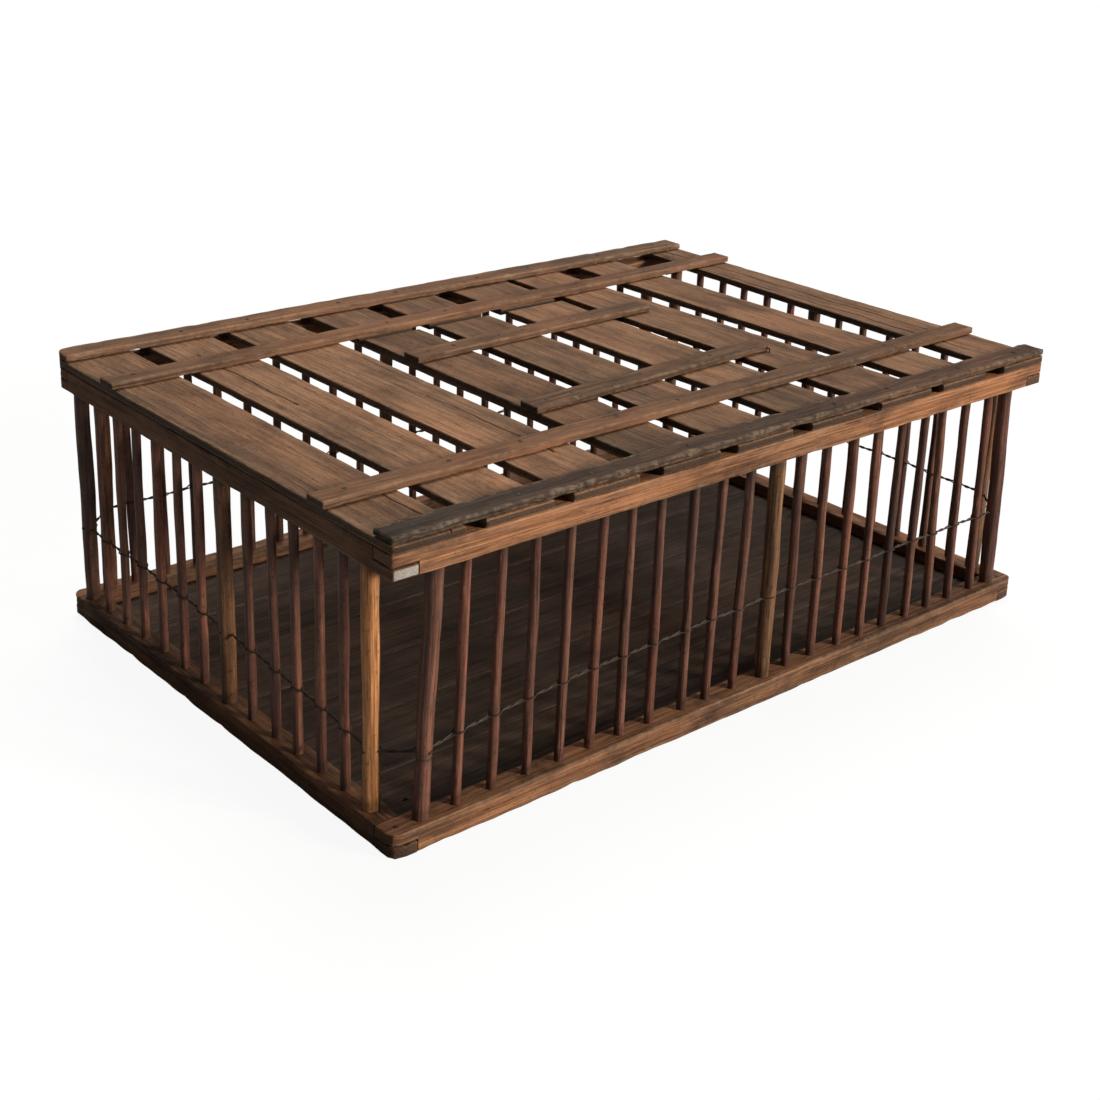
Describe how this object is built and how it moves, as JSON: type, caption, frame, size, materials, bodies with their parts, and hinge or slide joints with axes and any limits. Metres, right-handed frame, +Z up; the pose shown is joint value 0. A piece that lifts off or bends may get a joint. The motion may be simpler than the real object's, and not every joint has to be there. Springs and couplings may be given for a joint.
{
  "type": "poultry transport crate",
  "caption": "Low wooden crate for carrying live poultry: boarded floor, dowel bars on all sides, slatted deck with a hinged hatch and a wire belt round the bars.",
  "frame": {"origin": "middle of the base on the ground plane", "axes": "+X along the long side towards the hatch's hinge, +Y from the front to the back, +Z up"},
  "size_m": [0.906, 0.616, 0.3075],
  "materials": {
    "rail_wood": "bare old wood, orange brown, worn edges",
    "deck_wood": "weathered tan boards with fine grain and nail stains",
    "batten_wood": "grey brown weathered strips with pale bruised edges",
    "post_wood": "turned rods, yellow to orange brown, rubbed",
    "dowel_wood": "thin rods, reddish brown, slightly crooked",
    "floor_wood": "dark stained boards, dull",
    "fence_wire": "dull grey twisted iron wire, lightly rusted",
    "nail_iron": "dark rusted nail heads"
  },
  "bodies": {
    "crate": {"bottom_rail_back": "rail_wood", "bottom_rail_front": "rail_wood", "bottom_rail_left": "rail_wood", "bottom_rail_right": "rail_wood", "cross_rail_left": "rail_wood", "cross_rail_right": "rail_wood", "deck_plank_1": "deck_wood", "deck_plank_2": "deck_wood", "deck_plank_3": "deck_wood", "deck_plank_7": "deck_wood", "deck_plank_8": "deck_wood", "deck_plank_9": "deck_wood", "deck_stub_back_4": "deck_wood", "deck_stub_back_5": "deck_wood", "deck_stub_back_6": "deck_wood", "deck_stub_front_4": "deck_wood", "deck_stub_front_5": "deck_wood", "deck_stub_front_6": "deck_wood", "dowels_back": "dowel_wood", "dowels_front": "dowel_wood", "dowels_left": "dowel_wood", "dowels_right": "dowel_wood", "edge_batten_back": "batten_wood", "edge_batten_front": "batten_wood", "floor_board_1": "floor_wood", "floor_board_2": "floor_wood", "floor_board_3": "floor_wood", "floor_board_4": "floor_wood", "floor_board_5": "floor_wood", "floor_board_6": "floor_wood", "frame_nails": "nail_iron", "hinge_staples": "fence_wire", "inner_batten_back": "batten_wood", "inner_batten_front": "batten_wood", "post_back_left": "post_wood", "post_back_middle": "post_wood", "post_back_right": "post_wood", "post_front_left": "post_wood", "post_front_middle": "post_wood", "post_front_right": "post_wood", "post_left_back": "post_wood", "post_left_front": "post_wood", "post_left_middle": "post_wood", "post_right_back": "post_wood", "post_right_front": "post_wood", "post_right_middle": "post_wood", "top_rail_back": "rail_wood", "top_rail_front": "rail_wood", "top_rail_left": "rail_wood", "top_rail_right": "rail_wood", "wire_inner_strand": "fence_wire", "wire_outer_strand": "fence_wire"},
    "hatch": {"hatch_batten_back": "batten_wood", "hatch_batten_front": "batten_wood", "hatch_board_4": "deck_wood", "hatch_board_5": "deck_wood", "hatch_board_6": "deck_wood", "hatch_nails": "nail_iron"}
  },
  "joints": [
    {"name": "hatch_hinge", "type": "hinge", "parent": "crate", "child": "hatch", "pos_m": [0.198, 0, 0.30375], "axis": [0, 1, 0], "range_deg": [0, 178]}
  ]
}
